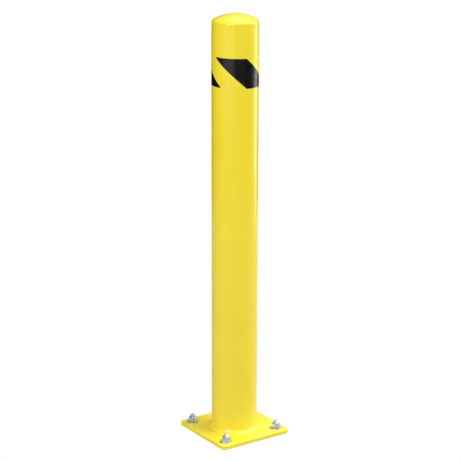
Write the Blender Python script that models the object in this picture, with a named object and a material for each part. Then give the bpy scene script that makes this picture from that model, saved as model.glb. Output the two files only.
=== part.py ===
"""Surface-mounted steel safety bollard, modelled as the separate pieces it is made from.

Metres, +Z up. The origin is on the post's axis at the underside of the base plate, and the plate's
sides run along X and Y. The post, cap and plate are welded together and powder coated, a striped
warning tape is wrapped round the post, and four expansion anchors hold the plate to the floor.
"""

from math import asin, cos, pi, radians, sin, tan, tau

import bmesh
import bpy
from mathutils import Matrix, Vector

# Driving dimensions
HEIGHT = 1.0668
POST_DIAMETER = 0.1143
POST_WALL = 0.003175
PLATE_SIDE = 0.2032
PLATE_THICKNESS = 0.009525
PLATE_CORNER_RADIUS = 0.012
PLATE_EDGE_RADIUS = 0.0008
HOLE_SPACING = 0.1524
HOLE_DIAMETER = 0.016
VENT_DIAMETER = 0.020
DRILL_OVERRUN = 0.005
GAP = 0.0003

# Pressed cap: a shallow crown that turns through a knuckle into a short straight skirt
CAP_DIAMETER = 0.1136
CAP_WALL = 0.003
CROWN_RADIUS = 0.1102
KNUCKLE_RADIUS = 0.0075
SEAM_HEIGHT = 1.0330
SEAM_WIDTH = 0.0024
SEAM_RECESS = 0.0002
SEAM_DEPTH = 0.0026

# Fillet weld round the foot of the post
FOOT_WELD_LEG = 0.0095
FOOT_WELD_HOLLOW = 0.0012

# Warning tape
TAPE_BOTTOM = 0.8949
TAPE_HEIGHT = 0.0723
TAPE_TILT = 0.0011
TAPE_THICKNESS = 0.0003
TAPE_SEAM = 0.0010
STRIPE_WIDTH = 0.0826
STRIPE_PITCH = 0.1466
STRIPE_SLANT = 0.0830
STRIPE_COUNT = 3
FRONT_STRIPE = 1
FRONT_STRIPE_START = -0.0543
TAPE_FACING = radians(-124.55)

# Anchors: a 1/2 in stud, nut and washer in each corner of the plate
STUD_DIAMETER = 0.0127
STUD_TOP = 0.0305
STUD_CHAMFER = 0.0016
WASHER_DIAMETER = 0.030
WASHER_BORE = 0.0138
WASHER_THICKNESS = 0.0025
WASHER_EDGE = 0.0004
NUT_ACROSS_FLATS = 0.01905
NUT_HEIGHT = 0.0111
NUT_CHAMFER = radians(30)
NUT_FACE_INSET = 0.0004
NUT_TURNS = (radians(28), radians(12), radians(41), radians(17))

# Fineness of the shapes
POST_SIDES = 72
ANCHOR_SIDES = 32
KNUCKLE_STEPS = 5
CROWN_STEPS = 5
CORNER_STEPS = 6
WELD_STEPS = 6
EDGE_STEPS = 2
EDGE_ANGLE = radians(60)
SMOOTH_ANGLE = radians(35)
MERGE_DISTANCE = 1e-6
CUT_DISTANCE = 1e-7


def clear_scene():
    for old in list(bpy.data.objects):
        bpy.data.objects.remove(old, do_unlink=True)


def make_material(name, colour, roughness, metallic):
    material = bpy.data.materials.new(name)
    material.use_nodes = True
    shader = material.node_tree.nodes["Principled BSDF"]
    shader.inputs["Base Color"].default_value = (*colour, 1.0)
    shader.inputs["Roughness"].default_value = roughness
    shader.inputs["Metallic"].default_value = metallic
    return material


def coat_material(name):
    """Safety-yellow powder coat, the same on every welded piece."""
    return make_material(name, (0.86, 0.69, 0.035), 0.38, 0.0)


def zinc_material(name):
    """Bright zinc plating, the same on every anchor piece."""
    return make_material(name, (0.66, 0.67, 0.68), 0.30, 1.0)


def add_object(name, mesh, material=None, location=(0, 0, 0)):
    obj = bpy.data.objects.new(name, mesh)
    obj.location = location
    if material:
        mesh.materials.clear()
        mesh.materials.append(material)
    bpy.context.scene.collection.objects.link(obj)
    return obj


def finish_mesh(bm, name):
    bmesh.ops.recalc_face_normals(bm, faces=bm.faces[:])
    mesh = bpy.data.meshes.new(name)
    bm.to_mesh(mesh)
    bm.free()
    mesh.shade_smooth()
    mesh.set_sharp_from_angle(angle=SMOOTH_ANGLE)
    return mesh


def turned_mesh(name, profile, sides, closed):
    """Turns (radius, height) points round Z. A closed profile is a ring's section; an open one
    starts and ends on the axis and makes a solid piece."""
    bm = bmesh.new()
    points = [bm.verts.new((radius, 0.0, height)) for radius, height in profile]
    pairs = list(zip(points, points[1:]))
    if closed:
        pairs.append((points[-1], points[0]))
    edges = [bm.edges.new(pair) for pair in pairs]
    bmesh.ops.spin(bm, geom=points + edges, cent=(0, 0, 0), axis=(0, 0, 1), angle=tau,
                   steps=sides, use_merge=True)
    bmesh.ops.remove_doubles(bm, verts=bm.verts[:], dist=MERGE_DISTANCE)
    return finish_mesh(bm, name)


def corner_places():
    half = HOLE_SPACING / 2
    return [(half * x, half * y) for x, y in ((-1, -1), (1, -1), (1, 1), (-1, 1))]


# The welded post

def make_post_tube():
    """Plain steel pipe, open at both ends, standing on the plate."""
    outer = POST_DIAMETER / 2
    inner = outer - POST_WALL
    low = PLATE_THICKNESS + GAP
    high = SEAM_HEIGHT - SEAM_WIDTH / 2
    profile = [(outer, high), (outer, low), (inner, low), (inner, high)]
    mesh = turned_mesh("post_tube", profile, POST_SIDES, closed=True)
    return add_object("post_tube", mesh, coat_material("post coat"))


def cap_section(inset):
    """The cap's outline from the crown's centre down to the skirt's foot, moved in by inset."""
    knuckle = KNUCKLE_RADIUS
    knuckle_centre = CAP_DIAMETER / 2 - knuckle
    crown_centre = HEIGHT - CROWN_RADIUS
    # The crown meets the knuckle where both have the same slope
    tilt = asin(knuckle_centre / (CROWN_RADIUS - knuckle))
    knuckle_height = crown_centre + (CROWN_RADIUS - knuckle) * cos(tilt)
    points = []
    for step in range(CROWN_STEPS):
        angle = tilt * step / CROWN_STEPS
        radius = CROWN_RADIUS - inset
        points.append((radius * sin(angle), crown_centre + radius * cos(angle)))
    for step in range(KNUCKLE_STEPS + 1):
        angle = tilt + (pi / 2 - tilt) * step / KNUCKLE_STEPS
        radius = knuckle - inset
        points.append((knuckle_centre + radius * sin(angle), knuckle_height + radius * cos(angle)))
    points.append((CAP_DIAMETER / 2 - inset, SEAM_HEIGHT + SEAM_WIDTH / 2))
    return points


def make_domed_cap():
    """Pressed steel cap, hollow and open below."""
    outline = cap_section(0.0) + cap_section(CAP_WALL)[::-1]
    mesh = turned_mesh("domed_cap", outline, POST_SIDES, closed=False)
    return add_object("domed_cap", mesh, coat_material("cap coat"))


def make_cap_weld():
    """The ground-back butt weld between the pipe and the cap."""
    outer = POST_DIAMETER / 2 - SEAM_RECESS
    inner = outer - SEAM_DEPTH
    low = SEAM_HEIGHT - SEAM_WIDTH / 2 + GAP
    high = SEAM_HEIGHT + SEAM_WIDTH / 2 - GAP
    profile = [(outer, high), (outer, low), (inner, low), (inner, high)]
    mesh = turned_mesh("cap_weld", profile, POST_SIDES, closed=True)
    return add_object("cap_weld", mesh, coat_material("cap weld coat"))


def make_base_weld():
    """Fillet weld round the foot of the post, with a slightly hollow face."""
    foot = POST_DIAMETER / 2 + GAP
    floor = PLATE_THICKNESS + GAP
    face = []
    for step in range(WELD_STEPS + 1):
        along = step / WELD_STEPS
        hollow = FOOT_WELD_HOLLOW * sin(pi * along) * cos(pi / 4)
        face.append((foot + FOOT_WELD_LEG * along - hollow, floor + FOOT_WELD_LEG * (1 - along) - hollow))
    mesh = turned_mesh("base_weld", face + [(foot, floor)], POST_SIDES, closed=True)
    return add_object("base_weld", mesh, coat_material("base weld coat"))


def add_drill(name, places, thickness):
    """Round cutters, each (x, y, diameter), that go right through a thickness standing on 0."""
    bm = bmesh.new()
    for x, y, diameter in places:
        where = Matrix.Translation((x, y, thickness / 2))
        bmesh.ops.create_cone(bm, cap_ends=True, segments=ANCHOR_SIDES, radius1=diameter / 2,
                              radius2=diameter / 2, depth=thickness + 2 * DRILL_OVERRUN, matrix=where)
    drill = add_object(name, finish_mesh(bm, name))
    drill.hide_render = True
    drill.display_type = "WIRE"
    return drill


def make_base_plate():
    """Flame-cut square plate with rounded corners, four anchor holes and a vent under the post."""
    bm = bmesh.new()
    bmesh.ops.create_cube(bm, size=1.0)
    bmesh.ops.scale(bm, vec=(PLATE_SIDE, PLATE_SIDE, PLATE_THICKNESS), verts=bm.verts[:])
    bmesh.ops.translate(bm, vec=(0, 0, PLATE_THICKNESS / 2), verts=bm.verts[:])
    upright = [e for e in bm.edges if abs(e.verts[0].co.z - e.verts[1].co.z) > PLATE_THICKNESS / 2]
    bmesh.ops.bevel(bm, geom=upright, offset=PLATE_CORNER_RADIUS, segments=CORNER_STEPS,
                    profile=0.5, affect="EDGES")
    plate = add_object("base_plate", finish_mesh(bm, "base_plate"), coat_material("plate coat"))
    edge = plate.modifiers.new("rolled edge", "BEVEL")
    edge.width = PLATE_EDGE_RADIUS
    edge.segments = EDGE_STEPS
    edge.limit_method = "ANGLE"
    edge.angle_limit = EDGE_ANGLE
    places = [(x, y, HOLE_DIAMETER) for x, y in corner_places()]
    places.append((0.0, 0.0, VENT_DIAMETER))
    holes = plate.modifiers.new("holes", "BOOLEAN")
    holes.operation = "DIFFERENCE"
    holes.object = add_drill("plate_drill", places, PLATE_THICKNESS)
    return plate


# The warning tape

def wrapped_patch(name, corners, lift, material):
    """A flat polygon of (run, height) corners, cut into columns, bent round the post and given
    the tape's thickness. Run is measured round the post from the tape's facing side, and the
    tape lies a little lower on the side of positive run, as if wrapped by hand."""
    half_turn = pi * POST_DIAMETER / 2
    run_limit = half_turn - TAPE_SEAM / 2
    bm = bmesh.new()
    bm.faces.new([bm.verts.new((run, 0.0, height)) for run, height in corners])
    for side in (-1, 1):
        bmesh.ops.bisect_plane(bm, geom=bm.verts[:] + bm.edges[:] + bm.faces[:], dist=CUT_DISTANCE,
                               plane_co=(side * run_limit, 0, 0), plane_no=(side, 0, 0),
                               clear_outer=True)
    column = 2 * half_turn / POST_SIDES
    for index in range(-POST_SIDES // 2 + 1, POST_SIDES // 2):
        bmesh.ops.bisect_plane(bm, geom=bm.verts[:] + bm.edges[:] + bm.faces[:], dist=CUT_DISTANCE,
                               plane_co=(index * column, 0, 0), plane_no=(1, 0, 0))
    radius = POST_DIAMETER / 2 + lift
    for vert in bm.verts:
        turned = vert.co.x / (POST_DIAMETER / 2)
        angle = TAPE_FACING + turned
        height = vert.co.z - TAPE_TILT * sin(turned)
        vert.co = Vector((radius * cos(angle), radius * sin(angle), height))
    for face in bm.faces:
        face.normal_update()
        middle = face.calc_center_median()
        if face.normal.dot(Vector((middle.x, middle.y, 0))) < 0:
            face.normal_flip()
    shell = bmesh.ops.extrude_face_region(bm, geom=bm.faces[:], use_keep_orig=True)
    outer = [v for v in shell["geom"] if isinstance(v, bmesh.types.BMVert)]
    grow = (radius + TAPE_THICKNESS) / radius
    for vert in outer:
        vert.co.x *= grow
        vert.co.y *= grow
    return add_object(name, finish_mesh(bm, name), material)


def make_tape_film():
    """The yellow film, once round the post, with its butted ends at the back."""
    reach = pi * POST_DIAMETER / 2
    top = TAPE_BOTTOM + TAPE_HEIGHT
    corners = [(-reach, TAPE_BOTTOM), (reach, TAPE_BOTTOM), (reach, top), (-reach, top)]
    material = make_material("tape yellow", (0.87, 0.70, 0.03), 0.32, 0.0)
    return wrapped_patch("tape_film", corners, GAP, material)


def make_tape_stripe(index):
    """One slanted black stripe on the film, cut off where it meets the film's ends."""
    start = FRONT_STRIPE_START + (index - FRONT_STRIPE) * STRIPE_PITCH
    top = TAPE_BOTTOM + TAPE_HEIGHT
    low_start = start + STRIPE_SLANT
    corners = [(start, top), (low_start, TAPE_BOTTOM),
               (low_start + STRIPE_WIDTH, TAPE_BOTTOM), (start + STRIPE_WIDTH, top)]
    material = make_material("tape black", (0.012, 0.012, 0.014), 0.30, 0.0)
    name = f"tape_stripe_{index + 1}"
    return wrapped_patch(name, corners, 2 * GAP + TAPE_THICKNESS, material)


# The anchors

def stud_mesh():
    """The stud above the floor line, with a chamfered end. Its thread is left plain."""
    radius = STUD_DIAMETER / 2
    profile = [(0.0, STUD_TOP), (radius - STUD_CHAMFER, STUD_TOP), (radius, STUD_TOP - STUD_CHAMFER),
               (radius, GAP), (0.0, GAP)]
    return turned_mesh("anchor_stud", profile, ANCHOR_SIDES, closed=False)


def washer_mesh():
    """Stamped round washer with softened edges, its underside at height 0."""
    outer = WASHER_DIAMETER / 2
    inner = WASHER_BORE / 2
    soft = WASHER_EDGE
    profile = [(outer - soft, WASHER_THICKNESS), (outer, WASHER_THICKNESS - soft), (outer, soft),
               (outer - soft, 0.0), (inner, 0.0), (inner, WASHER_THICKNESS)]
    return turned_mesh("anchor_washer", profile, ANCHOR_SIDES, closed=True)


def nut_mesh():
    """Hexagon nut, its corners turned off at both ends, with a plain bore. Underside at 0."""
    flat = NUT_ACROSS_FLATS / 2
    corner = flat / cos(pi / 6)
    bm = bmesh.new()
    middle = Matrix.Translation((0, 0, NUT_HEIGHT / 2))
    bmesh.ops.create_cone(bm, cap_ends=True, segments=6, radius1=corner, radius2=corner,
                          depth=NUT_HEIGHT, matrix=middle)
    nut = add_object("nut_blank", finish_mesh(bm, "anchor_nut"))
    face = flat - NUT_FACE_INSET
    wide = corner + NUT_FACE_INSET
    fall = (wide - face) * tan(NUT_CHAMFER)
    turning = [(0.0, NUT_HEIGHT), (face, NUT_HEIGHT), (wide, NUT_HEIGHT - fall), (wide, fall),
               (face, 0.0), (0.0, 0.0)]
    blank = add_object("nut_turning", turned_mesh("nut_turning", turning, ANCHOR_SIDES, closed=False))
    bore = STUD_DIAMETER + 2 * GAP
    drill = add_drill("nut_drill", [(0, 0, bore)], NUT_HEIGHT)
    for cutter, operation in ((blank, "INTERSECT"), (drill, "DIFFERENCE")):
        cut = nut.modifiers.new(operation.lower(), "BOOLEAN")
        cut.operation = operation
        cut.object = cutter
    depsgraph = bpy.context.evaluated_depsgraph_get()
    mesh = bpy.data.meshes.new_from_object(nut.evaluated_get(depsgraph))
    for used in (nut, blank, drill):
        bpy.data.objects.remove(used, do_unlink=True)
    mesh.shade_smooth()
    mesh.set_sharp_from_angle(angle=SMOOTH_ANGLE)
    return mesh


def make_anchors():
    """A stud, washer and nut in each corner; the nuts stopped at different angles."""
    washer_low = PLATE_THICKNESS + GAP
    nut_low = washer_low + WASHER_THICKNESS + GAP
    stud, washer, nut = stud_mesh(), washer_mesh(), nut_mesh()
    for mesh in (stud, washer, nut):
        mesh.materials.clear()
        mesh.materials.append(zinc_material(f"{mesh.name} zinc"))
    for index, (x, y) in enumerate(corner_places()):
        number = index + 1
        add_object(f"anchor_stud_{number}", stud, location=(x, y, 0))
        add_object(f"anchor_washer_{number}", washer, location=(x, y, washer_low))
        turned = add_object(f"anchor_nut_{number}", nut, location=(x, y, nut_low))
        turned.rotation_euler.z = NUT_TURNS[index]


def main():
    clear_scene()
    make_post_tube()
    make_domed_cap()
    make_cap_weld()
    make_base_plate()
    make_base_weld()
    make_tape_film()
    for index in range(STRIPE_COUNT):
        make_tape_stripe(index)
    make_anchors()


main()
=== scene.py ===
"""The looks of the steel safety bollard: its finished meshes, materials, studio light and camera."""

from math import asin, cos, pi, radians, sin, tan, tau

import bmesh
import bpy
from mathutils import Euler, Matrix, Vector, noise


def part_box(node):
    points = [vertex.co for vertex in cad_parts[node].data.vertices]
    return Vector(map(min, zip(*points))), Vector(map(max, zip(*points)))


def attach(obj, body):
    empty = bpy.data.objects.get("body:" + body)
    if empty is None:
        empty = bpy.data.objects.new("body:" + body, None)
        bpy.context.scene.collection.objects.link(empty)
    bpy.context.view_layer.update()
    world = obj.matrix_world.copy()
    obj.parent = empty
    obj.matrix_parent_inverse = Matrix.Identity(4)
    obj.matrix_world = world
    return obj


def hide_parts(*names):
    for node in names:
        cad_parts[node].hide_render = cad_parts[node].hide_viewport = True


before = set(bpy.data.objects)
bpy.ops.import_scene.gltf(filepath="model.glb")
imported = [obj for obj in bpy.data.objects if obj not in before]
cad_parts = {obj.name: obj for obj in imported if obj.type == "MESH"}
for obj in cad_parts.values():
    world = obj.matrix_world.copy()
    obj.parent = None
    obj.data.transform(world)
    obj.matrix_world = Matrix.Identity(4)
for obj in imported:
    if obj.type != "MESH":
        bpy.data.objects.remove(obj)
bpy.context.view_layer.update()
BODY = "root"

# Camera: azimuth round the post, distance from its axis and height above the floor
CAMERA_AZIMUTH = radians(-34.55)
CAMERA_TURN = radians(-0.157)
CAMERA_PITCH = radians(16.255)
CAMERA_ROLL = radians(0.14)
CAMERA_DISTANCE = 3.80
CAMERA_HEIGHT = 1.6366
CAMERA_LENS = 124.95
SENSOR_WIDTH = 36

# Studio
FLOOR_RADIUS = 2.2
FLOOR_SIDES = 96
FLOOR_GREY = 0.06
FLOOR_GLOW = 0.43
FLOOR_ROUGHNESS = 0.9
FLOOR_SHEEN = 0.1
CEILING_LIGHT = 0.47
CEILING_FADE = (0.1, 0.9)

# Colours, and the band of noise over which they and the gloss change
COAT_YELLOW = (0.87, 0.70, 0.038)
COAT_TONES = ((0.86, 0.69, 0.037), (0.88, 0.71, 0.040))
FILM_YELLOW = (0.87, 0.70, 0.038)
FILM_BLACK = (0.004, 0.004, 0.005)
ZINC = (0.68, 0.70, 0.74)
ZINC_TONES = ((0.60, 0.65, 0.76), (0.69, 0.72, 0.79))
TONE_BAND = (0.35, 0.65)
GLOSS_BAND = (0.3, 0.7)

# Fineness of the round shapes
POST_SIDES = 256
ANCHOR_SIDES = 64
EASE_STEPS = 4
CRISP_STEPS = 3
SMOOTH_ANGLE = radians(32)

# Tolerances for joining points and for telling level and square edges
MERGE = 1e-7
LEVEL_WITHIN = 1e-6
SQUARE_WITHIN = 0.2

# Post: a plain pipe with its top edge eased
PIPE_WALL = 0.003175
EDGE_EASE = 0.0004
PIPE_SINK = 0.0002

# Cap: a shallow crown, a knuckle and a short skirt
CAP_WALL = 0.003
CROWN_RADIUS = 0.1102
KNUCKLE_RADIUS = 0.0075
CAP_STEPS = 20

# Cap weld: a bead ground back until its crown is almost flush
SEAM_STEPS = 8
SEAM_INSET = 0.0003
SEAM_LAP = 0.0006
SEAM_CROWN = 0.00012
SEAM_DEPTH = 0.002
SEAM_WAVER = 0.00005
SEAM_WAVER_SCALE = 90

# Base weld: a hollow fillet with fine ripples and slow unevenness
WELD_STEPS = 14
WELD_HOLLOW = 0.0010
WELD_SINK = 0.0002
WELD_HEEL = (0.0006, 0.0004)
WELD_RIPPLE = 0.00009
WELD_RIPPLE_COUNT = 118
WELD_WANDER = 1.2
WELD_WANDER_COUNT = 5
WELD_UNEVEN = 0.00025
WELD_UNEVEN_SCALE = 70

# Base plate
PLATE_CORNER = 0.012
PLATE_CORNER_STEPS = 16
PLATE_RIM = 0.0009
ANCHOR_HOLE = 0.008
VENT_HOLE = 0.010

# Warning tape
FILM = 0.00018
INK = 0.00006
GLUE_GAP = 0.00002
LAP_GAP = 0.00004
LAP_CLIMB = 0.004
STRIPES = 3
STRIPE_WIDTH = 0.0826
STRIPE_PITCH = 0.1466
STRIPE_SLANT = 0.0830
FRONT_STRIPE_START = -0.0543
TAPE_FACING = radians(-124.55)
TAPE_TILT = 0.0011
TAPE_OVERLAP = 0.012

# Anchors
THREAD_PITCH = 0.00195
THREAD_DEPTH = 0.00115
THREAD_ROWS = 8
THREAD_STEEPNESS = 1.15
THREAD_CREST = 0.075
STUD_BEVEL = 0.0016
STUD_TIP = 0.0019
WASHER_BORE = 0.0069
NUT_FLATS = 0.01905
NUT_CORNER_EASE = 0.00035
NUT_CHAMFER = radians(30)
NUT_FACE_INSET = 0.0004
NUT_CUT_MARGIN = 0.001
NUT_BORE = 0.00640
NUT_SINK = 0.0009
NUT_TURNS = (28, 12, 41, 17)
ANCHORS = (1, 2, 3, 4)

made = []


def span(node):
    """Lowest and highest corner of a CAD node."""
    low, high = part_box(node)
    return Vector(low), Vector(high)


def radius_of(node):
    """Outer radius of a round CAD node."""
    low, high = span(node)
    return (high.x - low.x) / 2


def centre_of(node):
    """Middle of a CAD node's box."""
    low, high = span(node)
    return (low + high) / 2


def add_piece(name, bm, material, slot, *nodes):
    """Makes an object of bm that rides on the bollard and stands for the named CAD nodes."""
    bmesh.ops.recalc_face_normals(bm, faces=bm.faces[:])
    mesh = bpy.data.meshes.new(name)
    bm.to_mesh(mesh)
    bm.free()
    mesh.shade_smooth()
    mesh.set_sharp_from_angle(angle=SMOOTH_ANGLE)
    mesh.materials.append(material)
    piece = bpy.data.objects.new(name, mesh)
    bpy.context.scene.collection.objects.link(piece)
    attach(piece, BODY)
    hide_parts(*nodes)
    made.append(piece)
    return piece


def even_shading():
    """Lets the large faces set the normals, so that a small eased edge doesn't shade across them."""
    for piece in made:
        weight = piece.modifiers.new("even shading", "WEIGHTED_NORMAL")
        weight.keep_sharp = True


def turn(profile, sides, closed):
    """Turns (radius, height) points round Z into a ring or, if open, a solid that meets the axis."""
    bm = bmesh.new()
    points = [bm.verts.new((radius, 0.0, height)) for radius, height in profile]
    pairs = list(zip(points, points[1:]))
    if closed:
        pairs.append((points[-1], points[0]))
    edges = [bm.edges.new(pair) for pair in pairs]
    bmesh.ops.spin(bm, geom=points + edges, cent=(0, 0, 0), axis=(0, 0, 1), angle=tau,
                   steps=sides, use_merge=True)
    bmesh.ops.remove_doubles(bm, verts=bm.verts[:], dist=MERGE)
    return bm


def arc(centre, radius, start, end, steps):
    """Points on an arc in a (radius, height) section, angles from the outward direction."""
    found = []
    for step in range(steps + 1):
        angle = start + (end - start) * step / steps
        found.append((centre[0] + radius * cos(angle), centre[1] + radius * sin(angle)))
    return found


def whole(bm):
    """All the geometry of a mesh."""
    return bm.verts[:] + bm.edges[:] + bm.faces[:]


def cut_with(piece, drill, operation):
    """Applies a Boolean of the drill mesh to the piece."""
    mesh = bpy.data.meshes.new("drill")
    bmesh.ops.recalc_face_normals(drill, faces=drill.faces[:])
    drill.to_mesh(mesh)
    drill.free()
    tool = bpy.data.objects.new("drill", mesh)
    bpy.context.scene.collection.objects.link(tool)
    cut = piece.modifiers.new("cut", "BOOLEAN")
    cut.operation = operation
    cut.object = tool
    depsgraph = bpy.context.evaluated_depsgraph_get()
    result = bpy.data.meshes.new_from_object(piece.evaluated_get(depsgraph))
    piece.modifiers.remove(cut)
    old = piece.data
    piece.data = result
    bpy.data.meshes.remove(old)
    bpy.data.objects.remove(tool)
    bpy.data.meshes.remove(mesh)
    result.shade_smooth()
    result.set_sharp_from_angle(angle=SMOOTH_ANGLE)


# Materials

def map_range(tree, value, band, result):
    """Maps value from one range to another, clamped."""
    node = tree.nodes.new("ShaderNodeMapRange")
    tree.links.new(value, node.inputs["Value"])
    for name, number in zip(("From Min", "From Max", "To Min", "To Max"), band + result):
        node.inputs[name].default_value = number
    return node.outputs["Result"]


class Look:
    """A small helper that builds one node material around a Principled shader."""

    def __init__(self, name, colour, roughness, metallic=0.0):
        self.material = bpy.data.materials.new(name)
        self.material.use_nodes = True
        self.tree = self.material.node_tree
        self.nodes = self.tree.nodes
        self.links = self.tree.links
        self.shader = self.nodes["Principled BSDF"]
        self.shader.inputs["Base Color"].default_value = (*colour, 1.0)
        self.shader.inputs["Roughness"].default_value = roughness
        self.shader.inputs["Metallic"].default_value = metallic
        self.place = self.nodes.new("ShaderNodeTexCoord").outputs["Object"]
        self.normal = None

    def noise(self, scale, detail):
        """Noise with scale features per metre."""
        node = self.nodes.new("ShaderNodeTexNoise")
        node.inputs["Scale"].default_value = scale
        node.inputs["Detail"].default_value = detail
        self.links.new(self.place, node.inputs["Vector"])
        return node.outputs["Fac"]

    def mottle(self, scale, detail, tones):
        """Clouds of colour between two tones."""
        clouds = map_range(self.tree, self.noise(scale, detail), TONE_BAND, (0.0, 1.0))
        node = self.nodes.new("ShaderNodeMix")
        node.data_type = "RGBA"
        self.links.new(clouds, node.inputs["Factor"])
        for socket, tone in zip((node.inputs[6], node.inputs[7]), tones):
            socket.default_value = (*tone, 1.0)
        self.set("Base Color", node.outputs[2])

    def gloss(self, scale, detail, smoothest, roughest):
        """A slightly uneven roughness."""
        clouds = map_range(self.tree, self.noise(scale, detail), GLOSS_BAND, (smoothest, roughest))
        self.set("Roughness", clouds)

    def bump(self, height, distance):
        """Adds a layer of relief, distance metres high, on top of the ones already there."""
        node = self.nodes.new("ShaderNodeBump")
        node.inputs["Distance"].default_value = distance
        node.inputs["Strength"].default_value = 1.0
        self.links.new(height, node.inputs["Height"])
        if self.normal:
            self.links.new(self.normal, node.inputs["Normal"])
        self.normal = node.outputs["Normal"]
        self.set("Normal", self.normal)

    def set(self, name, socket):
        """Links a socket to one of the shader's inputs."""
        self.links.new(socket, self.shader.inputs[name])


def coat_look():
    """Safety-yellow powder coat: orange peel, faint mottling and a slightly uneven gloss."""
    look = Look("powder_coat", COAT_YELLOW, 0.22)
    look.mottle(9.0, 3.0, COAT_TONES)
    look.gloss(34.0, 2.0, 0.18, 0.25)
    look.bump(look.noise(11.0, 1.0), 0.0002)
    look.bump(look.noise(420.0, 2.0), 0.00004)
    return look.material


def film_look(name, colour):
    """Smooth self-adhesive vinyl, which lets the coat's relief through a little."""
    look = Look(name, colour, 0.28)
    look.gloss(60.0, 2.0, 0.24, 0.33)
    look.bump(look.noise(45.0, 1.0), 0.00008)
    look.bump(look.noise(420.0, 2.0), 0.00002)
    return look.material


def zinc_look():
    """Bright zinc plate with a faint blue tint, a cloudy gloss and a fine grain."""
    look = Look("zinc_plate", ZINC, 0.42, 1.0)
    look.mottle(160.0, 3.0, ZINC_TONES)
    look.gloss(300.0, 3.0, 0.36, 0.50)
    look.bump(look.noise(900.0, 3.0), 0.00003)
    return look.material


# The welded post

def make_post(coat):
    """The pipe, its top edge eased where the cap weld meets it."""
    low, high = span("post_tube")
    outer = high.x
    inner = outer - PIPE_WALL
    foot = low.z - PIPE_SINK
    top = arc((outer - EDGE_EASE, high.z - EDGE_EASE), EDGE_EASE, 0, pi / 2, EASE_STEPS)
    profile = [(inner, foot), (outer, foot)] + top + [(inner, high.z)]
    add_piece("post_pipe", turn(profile, POST_SIDES, True), coat, "yellow_coat", "post_tube")


def cap_outline(outer, top, inset):
    """The crown and knuckle in section, from the axis outwards, inset by the wall if asked."""
    centre = outer - KNUCKLE_RADIUS
    crown_centre = top - CROWN_RADIUS
    tilt = asin(centre / (CROWN_RADIUS - KNUCKLE_RADIUS))
    knuckle_height = crown_centre + (CROWN_RADIUS - KNUCKLE_RADIUS) * cos(tilt)
    crown = arc((0, crown_centre), CROWN_RADIUS - inset, pi / 2, pi / 2 - tilt, CAP_STEPS)
    knuckle = arc((centre, knuckle_height), KNUCKLE_RADIUS - inset, pi / 2 - tilt, 0, CAP_STEPS)
    return crown + knuckle[1:]


def make_cap(coat):
    """Pressed cap, with its skirt's foot eased where the weld meets it."""
    low, high = span("domed_cap")
    outer = high.x
    foot = arc((outer - EDGE_EASE, low.z + EDGE_EASE), EDGE_EASE, 0, -pi / 2, EASE_STEPS)
    inside = cap_outline(outer, high.z, CAP_WALL)[::-1]
    profile = cap_outline(outer, high.z, 0.0) + foot + [(outer - CAP_WALL, low.z)] + inside
    add_piece("pressed_cap", turn(profile, POST_SIDES, False), coat, "yellow_coat", "domed_cap")


def make_cap_weld(coat):
    """A low bead, ground back almost flush and slightly uneven."""
    low, high = span("cap_weld")
    middle = (low.z + high.z) / 2
    half = (high.z - low.z) / 2 + SEAM_LAP
    outer = radius_of("post_tube") - SEAM_INSET
    face = []
    for step in range(SEAM_STEPS + 1):
        along = -1 + 2 * step / SEAM_STEPS
        face.append((outer + SEAM_CROWN * (1 - along * along), middle + half * along))
    root = outer - SEAM_DEPTH
    profile = face + [(root, middle + half), (root, middle - half)]
    bm = turn(profile, POST_SIDES, True)
    for vert in bm.verts:
        wobble = noise.noise(vert.co * SEAM_WAVER_SCALE) * SEAM_WAVER
        vert.co.x *= 1 + wobble / outer
        vert.co.y *= 1 + wobble / outer
    add_piece("cap_seam", bm, coat, "yellow_coat", "cap_weld")


def make_base_weld(coat):
    """Hollow fillet bead round the foot, its ripples softened by the coat."""
    low, high = span("base_weld")
    foot = radius_of("post_tube")
    floor = span("base_plate")[1].z
    leg = high.z - floor
    face = []
    for step in range(WELD_STEPS + 1):
        along = step / WELD_STEPS
        inset = WELD_SINK + WELD_HOLLOW * sin(pi * along)
        face.append((foot + leg * along - inset, floor + leg * (1 - along) - inset))
    profile = face + [(foot - WELD_HEEL[0], floor - WELD_HEEL[1])]
    bm = turn(profile, POST_SIDES * 2, True)
    for vert in bm.verts:
        out = Vector((vert.co.x, vert.co.y, 0)).length
        if out < foot - WELD_SINK / 2 or vert.co.z < floor:
            continue
        angle = Vector((1, 0)).angle_signed(Vector((vert.co.x, vert.co.y)), 0.0)
        depth = max(0.0, sin(pi * (out - foot) / leg))
        wander = WELD_WANDER * sin(angle * WELD_WANDER_COUNT)
        ripple = WELD_RIPPLE * sin(angle * WELD_RIPPLE_COUNT + wander)
        uneven = WELD_UNEVEN * noise.noise(vert.co * WELD_UNEVEN_SCALE)
        push = (ripple + uneven) * depth
        vert.co.x += push * vert.co.x / out
        vert.co.y += push * vert.co.y / out
        vert.co.z += push
    add_piece("foot_weld", bm, coat, "yellow_coat", "base_weld")


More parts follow.
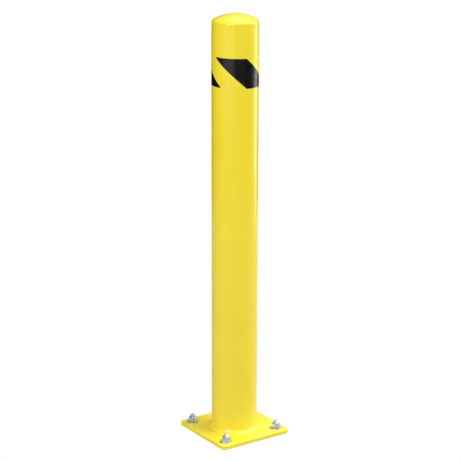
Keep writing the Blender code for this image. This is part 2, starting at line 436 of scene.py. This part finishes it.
def make_plate(coat):
    """Square plate with rounded corners, rolled edges, anchor holes and a vent."""
    low, high = span("base_plate")
    size = high - low
    bm = bmesh.new()
    bmesh.ops.create_cube(bm, size=1.0)
    bmesh.ops.scale(bm, vec=size, verts=bm.verts[:])
    bmesh.ops.translate(bm, vec=centre_of("base_plate"), verts=bm.verts[:])
    upright = [e for e in bm.edges if abs(e.verts[0].co.z - e.verts[1].co.z) > size.z / 2]
    bmesh.ops.bevel(bm, geom=upright, offset=PLATE_CORNER, segments=PLATE_CORNER_STEPS,
                    profile=0.5, affect="EDGES")
    level = [e for e in bm.edges if abs(e.verts[0].co.z - e.verts[1].co.z) < LEVEL_WITHIN]
    rim = [e for e in level if abs(e.calc_face_angle(0.0) - pi / 2) < SQUARE_WITHIN]
    bmesh.ops.bevel(bm, geom=rim, offset=PLATE_RIM, segments=EASE_STEPS,
                    profile=0.5, affect="EDGES")
    plate = add_piece("base_plate_coated", bm, coat, "yellow_coat", "base_plate")
    drill = bmesh.new()
    holes = [(centre_of(f"anchor_stud_{number}"), ANCHOR_HOLE) for number in ANCHORS]
    holes.append((Vector((0, 0, 0)), VENT_HOLE))
    for place, radius in holes:
        where = Matrix.Translation((place.x, place.y, size.z / 2))
        bmesh.ops.create_cone(drill, cap_ends=True, segments=ANCHOR_SIDES, radius1=radius,
                              radius2=radius, depth=size.z * 2, matrix=where)
    cut_with(plate, drill, "DIFFERENCE")


# The warning tape

def lap_rise(run, reach):
    """How far the film's tail has climbed over its start, run metres round the post."""
    ease = min(1.0, max(0.0, (run - reach + LAP_CLIMB) / LAP_CLIMB))
    return ease * ease * (3 - 2 * ease) * (2 * FILM + LAP_GAP)


def wrapped(corners, lift, thickness, limits):
    """A flat polygon of (run, height) corners, cut into columns and bent round the post."""
    post = radius_of("post_tube")
    reach = pi * post
    bm = bmesh.new()
    bm.faces.new([bm.verts.new((run, 0.0, height)) for run, height in corners])
    for limit, side in zip(limits, (-1, 1)):
        bmesh.ops.bisect_plane(bm, geom=whole(bm), dist=MERGE, plane_co=(limit, 0, 0),
                               plane_no=(side, 0, 0), clear_outer=True)
    column = tau * post / POST_SIDES
    first, last = (int(limit / column) for limit in limits)
    for index in range(first - 1, last + 2):
        bmesh.ops.bisect_plane(bm, geom=whole(bm), dist=MERGE, plane_co=(index * column, 0, 0),
                               plane_no=(1, 0, 0))
    shell = bmesh.ops.extrude_face_region(bm, geom=bm.faces[:], use_keep_orig=True)
    for vert in [v for v in shell["geom"] if isinstance(v, bmesh.types.BMVert)]:
        vert.co.y = thickness
    for vert in bm.verts:
        run = vert.co.x
        turned = run / post
        angle = TAPE_FACING + turned
        out = post + lift + vert.co.y + lap_rise(run, reach)
        height = vert.co.z - TAPE_TILT * sin(turned)
        vert.co = Vector((out * cos(angle), out * sin(angle), height))
    return bm


def make_tape(yellow, black):
    """The film goes once round and laps over its own start at the back; the stripes lie on it."""
    low, high = span("tape_film")
    reach = pi * radius_of("post_tube")
    limits = (-reach, reach + TAPE_OVERLAP)
    bottom = low.z + TAPE_TILT
    top = high.z - TAPE_TILT
    corners = [(limits[0], bottom), (limits[1], bottom), (limits[1], top), (limits[0], top)]
    bm = wrapped(corners, GLUE_GAP, FILM, limits)
    add_piece("tape_yellow_film", bm, yellow, "tape_yellow", "tape_film")
    for index in range(STRIPES):
        start = FRONT_STRIPE_START + (index - STRIPES // 2) * STRIPE_PITCH
        foot = start + STRIPE_SLANT
        corners = [(start, top), (foot, bottom),
                   (foot + STRIPE_WIDTH, bottom), (start + STRIPE_WIDTH, top)]
        bm = wrapped(corners, GLUE_GAP + FILM, INK, limits)
        add_piece(f"tape_black_{index + 1}", bm, black, "tape_black", f"tape_stripe_{index + 1}")


# The anchors

def thread(radius, low, high):
    """A rod with a V thread from low to high, its rows following the helix."""
    rows = THREAD_ROWS
    sides = ANCHOR_SIDES
    turns = int((high - low) / THREAD_PITCH) + 3
    start = low - THREAD_PITCH
    bm = bmesh.new()
    grid = {}
    for column in range(sides):
        for row in range(turns * rows + 1):
            wave = abs((row % rows) / rows * 2 - 1)
            depth = THREAD_DEPTH * min(1.0, max(0.0, THREAD_STEEPNESS * wave - THREAD_CREST))
            height = start + THREAD_PITCH * (row / rows + column / sides)
            bare = radius - depth
            bevel = radius - STUD_BEVEL + (high - height)
            out = max(min(bare, bevel), radius - STUD_TIP)
            angle = tau * column / sides
            grid[column, row] = bm.verts.new((out * cos(angle), out * sin(angle), height))
    for column in range(sides):
        for row in range((turns - 1) * rows):
            shift = rows if column == sides - 1 else 0
            right = (column + 1) % sides
            corners = (grid[column, row], grid[right, row + shift],
                       grid[right, row + 1 + shift], grid[column, row + 1])
            bm.faces.new(corners)
    for height, side in ((low, -1), (high, 1)):
        cut = bmesh.ops.bisect_plane(bm, geom=whole(bm), dist=MERGE, plane_co=(0, 0, height),
                                     plane_no=(0, 0, side), clear_outer=True)
        loop = [e for e in cut["geom_cut"] if isinstance(e, bmesh.types.BMEdge)]
        bmesh.ops.contextual_create(bm, geom=loop)
    loose = [v for v in bm.verts if not v.link_faces]
    bmesh.ops.delete(bm, geom=loose, context="VERTS")
    return bm


def make_stud(number, zinc):
    """Threaded stud with a bevelled tip, each one turned differently."""
    node = f"anchor_stud_{number}"
    low, high = span(node)
    centre = centre_of(node)
    bm = thread(radius_of(node), low.z, high.z)
    turned = Matrix.Rotation(radians(NUT_TURNS[number - 1] * 2), 4, "Z")
    bmesh.ops.transform(bm, matrix=turned, verts=bm.verts[:])
    bmesh.ops.translate(bm, vec=(centre.x, centre.y, 0), verts=bm.verts[:])
    add_piece(f"stud_{number}", bm, zinc, "zinc", node)


def make_washer(number, zinc):
    """Flat washer, its upper edge rounder than the stamped one underneath."""
    node = f"anchor_washer_{number}"
    low, high = span(node)
    centre = centre_of(node)
    outer = radius_of(node)
    inner = WASHER_BORE
    soft = EDGE_EASE
    crisp = EDGE_EASE / 2
    profile = arc((outer - soft, high.z - soft), soft, pi / 2, 0, EASE_STEPS)
    profile += arc((outer - crisp, low.z + crisp), crisp, 0, -pi / 2, CRISP_STEPS)
    profile += [(inner, low.z), (inner, high.z - soft), (inner + soft, high.z)]
    bm = turn(profile, ANCHOR_SIDES, True)
    bmesh.ops.translate(bm, vec=(centre.x, centre.y, 0), verts=bm.verts[:])
    add_piece(f"washer_{number}", bm, zinc, "zinc", node)


def make_nut(number, zinc):
    """Hexagon nut with its corners turned off, a washer face and a chamfered bore."""
    node = f"anchor_nut_{number}"
    low, high = span(node)
    centre = centre_of(node)
    flat = NUT_FLATS / 2
    corner = flat / cos(pi / 6)
    height = high.z - low.z
    bm = bmesh.new()
    bmesh.ops.create_cone(bm, cap_ends=True, segments=6, radius1=corner, radius2=corner,
                          depth=height)
    upright = [e for e in bm.edges if abs(e.verts[0].co.z - e.verts[1].co.z) > height / 2]
    bmesh.ops.bevel(bm, geom=upright, offset=NUT_CORNER_EASE, segments=CRISP_STEPS,
                    profile=0.5, affect="EDGES")
    where = Matrix.Translation(centre) @ Matrix.Rotation(radians(NUT_TURNS[number - 1]), 4, "Z")
    bmesh.ops.transform(bm, matrix=where, verts=bm.verts[:])
    nut = add_piece(f"nut_{number}", bm, zinc, "zinc", node)
    face = flat - NUT_FACE_INSET
    wide = corner + NUT_CUT_MARGIN
    fall = (wide - face) * tan(NUT_CHAMFER)
    half = height / 2
    bore = NUT_BORE
    sink = NUT_SINK
    ring = [(face, half), (wide, half - fall), (wide, fall - half), (face, -half),
            (bore + sink, -half), (bore, sink - half), (bore, half - sink), (bore + sink, half)]
    tool = turn(ring, ANCHOR_SIDES * 2, True)
    bmesh.ops.translate(tool, vec=centre, verts=tool.verts[:])
    cut_with(nut, tool, "INTERSECT")


# The studio

def around(azimuth, distance, height):
    """A point round the bollard, its azimuth in degrees to the right of the camera."""
    angle = CAMERA_AZIMUTH + radians(azimuth)
    return Vector((distance * sin(angle), -distance * cos(angle), height))


def add_softbox(name, azimuth, distance, height, aim_height, width, tall, brightness):
    """A rectangular area light; brightness is the radiance of its face."""
    light = bpy.data.lights.new(name, "AREA")
    light.shape = "RECTANGLE"
    light.size = width
    light.size_y = tall
    light.energy = brightness * pi * width * tall
    box = bpy.data.objects.new(name, light)
    box.location = around(azimuth, distance, height)
    facing = Vector((0, 0, aim_height)) - box.location
    box.rotation_euler = facing.to_track_quat("-Z", "Y").to_euler()
    box.visible_camera = False
    bpy.context.scene.collection.objects.link(box)


def camera_only(tree, seen, unseen):
    """Mixes two shaders: one for what the camera sees directly, one for light and reflections."""
    path = tree.nodes.new("ShaderNodeLightPath")
    mix = tree.nodes.new("ShaderNodeMixShader")
    tree.links.new(path.outputs["Is Camera Ray"], mix.inputs[0])
    tree.links.new(unseen, mix.inputs[1])
    tree.links.new(seen, mix.inputs[2])
    return mix.outputs[0]


def add_floor():
    """White to the camera; to the bollard it is a grey floor with a faint glow."""
    bm = bmesh.new()
    bmesh.ops.create_circle(bm, cap_ends=True, segments=FLOOR_SIDES, radius=FLOOR_RADIUS)
    mesh = bpy.data.meshes.new("floor")
    bm.to_mesh(mesh)
    bm.free()
    material = bpy.data.materials.new("floor")
    material.use_nodes = True
    tree = material.node_tree
    paint = tree.nodes["Principled BSDF"]
    paint.inputs["Base Color"].default_value = (FLOOR_GREY, FLOOR_GREY, FLOOR_GREY, 1)
    paint.inputs["Roughness"].default_value = FLOOR_ROUGHNESS
    paint.inputs["Specular IOR Level"].default_value = FLOOR_SHEEN
    paint.inputs["Emission Color"].default_value = (1, 1, 1, 1)
    paint.inputs["Emission Strength"].default_value = FLOOR_GLOW
    white = tree.nodes.new("ShaderNodeEmission")
    shown = camera_only(tree, white.outputs[0], paint.outputs[0])
    tree.links.new(shown, tree.nodes["Material Output"].inputs["Surface"])
    mesh.materials.append(material)
    floor = bpy.data.objects.new("floor", mesh)
    bpy.context.scene.collection.objects.link(floor)


def add_world():
    """White to the camera; to the bollard it is a dark room under a bright ceiling."""
    world = bpy.data.worlds.new("studio")
    bpy.context.scene.world = world
    world.use_nodes = True
    tree = world.node_tree
    seen = tree.nodes["Background"]
    seen.inputs["Color"].default_value = (1, 1, 1, 1)
    seen.inputs["Strength"].default_value = 1.0
    unseen = tree.nodes.new("ShaderNodeBackground")
    place = tree.nodes.new("ShaderNodeTexCoord")
    split = tree.nodes.new("ShaderNodeSeparateXYZ")
    tree.links.new(place.outputs["Generated"], split.inputs[0])
    glow = map_range(tree, split.outputs["Z"], CEILING_FADE, (0.0, CEILING_LIGHT))
    tree.links.new(glow, unseen.inputs["Color"])
    shown = camera_only(tree, seen.outputs[0], unseen.outputs[0])
    tree.links.new(shown, tree.nodes["World Output"].inputs["Surface"])


def add_lights():
    """Softboxes: name, azimuth, distance, height, height aimed at, width, height, brightness."""
    add_softbox("front_left", -30, 2.88, 2.30, 0.5, 1.4, 1.4, 12.3)
    add_softbox("right_high", 90, 4.43, 6.17, 0.5, 2.0, 2.0, 7.4)
    add_softbox("right_side", 88, 6.11, 4.32, 0.5, 2.4, 2.4, 9.0)
    add_softbox("right_back", 114, 6.18, 3.79, 0.5, 2.0, 2.0, 7.0)
    add_softbox("back_high", 160, 3.00, 5.70, 0.5, 3.2, 2.4, 2.6)
    add_softbox("glint", 68, 3.00, 5.70, 0.5, 0.7, 0.7, 59)
    add_softbox("left_wall", -32, 3.3, 1.0, 0.95, 3.6, 1.8, 1.02)
    add_softbox("front_wall", 30, 3.4, 1.2, 0.6, 2.4, 2.0, 0.25)
    add_softbox("right_wall", 112, 2.3, 0.8, 0.8, 1.2, 1.4, 1.36)
    add_softbox("back_wall", 180, 3.0, 2.3, 0.6, 3.0, 1.0, 0.09)
    add_softbox("back_low", 170, 1.5, 0.65, 0.0, 0.5, 0.5, 0.47)
    add_softbox("strip_high", 121, 1.8, 1.75, 1.1, 0.12, 1.3, 17.8)
    add_softbox("strip_low", 121, 1.8, 0.6, 0.6, 0.12, 1.0, 11.5)


def add_camera():
    """A long lens, looking a little down at the bollard from the front."""
    camera = bpy.data.objects.new("camera", bpy.data.cameras.new("camera"))
    camera.data.sensor_width = SENSOR_WIDTH
    camera.data.lens = CAMERA_LENS
    camera.location = around(0, CAMERA_DISTANCE, CAMERA_HEIGHT)
    facing = Euler((pi / 2 - CAMERA_PITCH, 0, CAMERA_AZIMUTH - CAMERA_TURN)).to_matrix()
    camera.rotation_euler = (facing @ Matrix.Rotation(CAMERA_ROLL, 3, "Z")).to_euler()
    bpy.context.scene.collection.objects.link(camera)
    bpy.context.scene.camera = camera


def main():
    """Builds the whole scene."""
    bpy.context.scene.view_settings.view_transform = "Standard"
    add_camera()
    coat = coat_look()
    make_post(coat)
    make_cap(coat)
    make_cap_weld(coat)
    make_base_weld(coat)
    make_plate(coat)
    yellow = film_look("tape_yellow_vinyl", FILM_YELLOW)
    black = film_look("tape_black_vinyl", FILM_BLACK)
    make_tape(yellow, black)
    zinc = zinc_look()
    for number in ANCHORS:
        make_stud(number, zinc)
        make_washer(number, zinc)
        make_nut(number, zinc)
    even_shading()
    add_floor()
    add_world()
    add_lights()


main()
